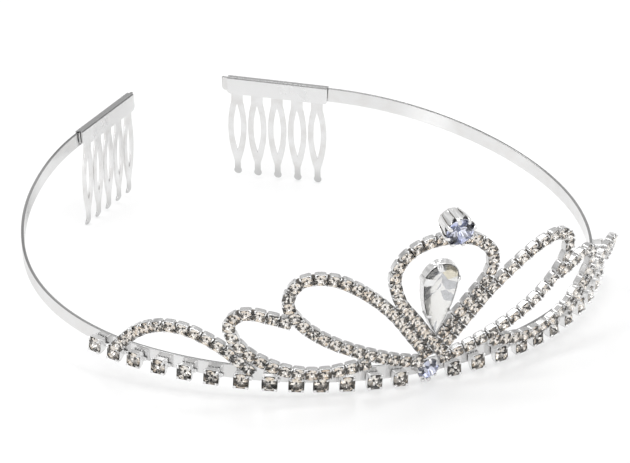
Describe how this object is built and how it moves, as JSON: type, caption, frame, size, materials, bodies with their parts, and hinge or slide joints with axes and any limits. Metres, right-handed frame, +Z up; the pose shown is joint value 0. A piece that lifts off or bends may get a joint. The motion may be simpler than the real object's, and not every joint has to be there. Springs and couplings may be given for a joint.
{
  "type": "diadem with side combs",
  "caption": "Open tiara on a bent steel band, with loops of rhinestone cup chain, a pear stone and a peak stone in front and a slotted comb clamped on each end.",
  "frame": {"origin": "middle of the whole diadem on the surface that it stands on", "axes": "+Z up, -Y the way the front faces, +X to the right of someone who looks at the front"},
  "size_m": [0.1536, 0.1761, 0.0533],
  "materials": {
    "band_steel": "polished",
    "clamp_steel": "satin",
    "comb_steel": "polished",
    "cup_metal": "polished",
    "chain_stones": "faceted stones in silver-coloured cups",
    "setting_metal": "polished",
    "lilac_stone": "faceted",
    "clear_stone": "faceted"
  },
  "bodies": {
    "root": {"band": "band_steel", "clamp_left": "clamp_steel", "clamp_right": "clamp_steel", "comb_left": "comb_steel", "comb_right": "comb_steel", "row_cup_l01": "cup_metal", "row_cup_l02": "cup_metal", "row_cup_l03": "cup_metal", "row_cup_l04": "cup_metal", "row_cup_l05": "cup_metal", "row_cup_l06": "cup_metal", "row_cup_l07": "cup_metal", "row_cup_l08": "cup_metal", "row_cup_l09": "cup_metal", "row_cup_l10": "cup_metal", "row_cup_l11": "cup_metal", "row_cup_l12": "cup_metal", "row_cup_l13": "cup_metal", "row_cup_r01": "cup_metal", "row_cup_r02": "cup_metal", "row_cup_r03": "cup_metal", "row_cup_r04": "cup_metal", "row_cup_r05": "cup_metal", "row_cup_r06": "cup_metal", "row_cup_r07": "cup_metal", "row_cup_r08": "cup_metal", "row_cup_r09": "cup_metal", "row_cup_r10": "cup_metal", "row_cup_r11": "cup_metal", "row_cup_r12": "cup_metal", "row_cup_r13": "cup_metal", "outer_arc_left": "chain_stones", "outer_arc_right": "chain_stones", "side_loop_left": "chain_stones", "side_loop_right": "chain_stones", "large_loop_left": "chain_stones", "large_loop_right": "chain_stones", "centre_loop": "chain_stones", "top_setting": "setting_metal", "top_stone": "lilac_stone", "pear_setting": "setting_metal", "pear_stone": "clear_stone", "base_setting": "setting_metal", "base_stone": "lilac_stone"}
  },
  "joints": []
}
